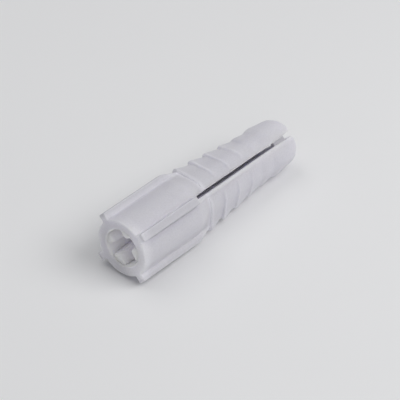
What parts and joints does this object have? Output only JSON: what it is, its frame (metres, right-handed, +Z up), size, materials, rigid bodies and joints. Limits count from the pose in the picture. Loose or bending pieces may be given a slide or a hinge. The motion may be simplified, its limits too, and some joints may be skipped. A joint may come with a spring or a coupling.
{
  "type": "plastic wall anchor",
  "caption": "Plastic expansion plug with a finned sleeve, a cross-shaped screw bore and barbed legs that spread from a living hinge when a screw is driven in.",
  "frame": {"origin": "centre of the mouth, on the plug's axis, in the plane of the end face", "axes": "+X along the plug from the mouth to the nose, +Z up with the plug lying on two of its fins, +Y to the left seen from the mouth"},
  "size_m": [0.0394, 0.01, 0.01],
  "materials": {
    "neck_nylon": "translucent natural nylon, satin",
    "bore_nylon": "translucent natural nylon, satin",
    "leg_nylon": "translucent natural nylon, satin",
    "web_nylon": "thin translucent nylon, satin"
  },
  "bodies": {
    "plug": {"sleeve": "neck_nylon", "fin_upper_left": "neck_nylon", "fin_upper_right": "neck_nylon", "fin_lower_right": "neck_nylon", "fin_lower_left": "neck_nylon", "guide_rib_left": "bore_nylon", "guide_rib_top": "bore_nylon", "guide_rib_right": "bore_nylon", "guide_rib_bottom": "bore_nylon", "flex_neck_upper": "leg_nylon", "flex_neck_lower": "leg_nylon"},
    "upper_leg": {"leg_upper": "leg_nylon", "tip_bridge_upper": "web_nylon"},
    "lower_leg": {"leg_lower": "leg_nylon", "tip_bridge_lower": "web_nylon"}
  },
  "joints": [
    {"name": "leg_upper_flex", "type": "hinge", "parent": "plug", "child": "upper_leg", "pos_m": [0.0165, 0.00373, 0.00373], "axis": [0, -0.7071, 0.7071], "range_deg": [0, 6], "stiffness_Nm_per_rad": 0.004, "springref_deg": -3.44},
    {"name": "leg_lower_flex", "type": "hinge", "parent": "plug", "child": "lower_leg", "pos_m": [0.0165, -0.00373, -0.00373], "axis": [0, 0.7071, -0.7071], "range_deg": [0, 6], "stiffness_Nm_per_rad": 0.004, "springref_deg": -3.44}
  ],
  "couplings": [
    {"joint": "leg_lower_flex", "follows": "leg_upper_flex", "ratio": 1}
  ]
}
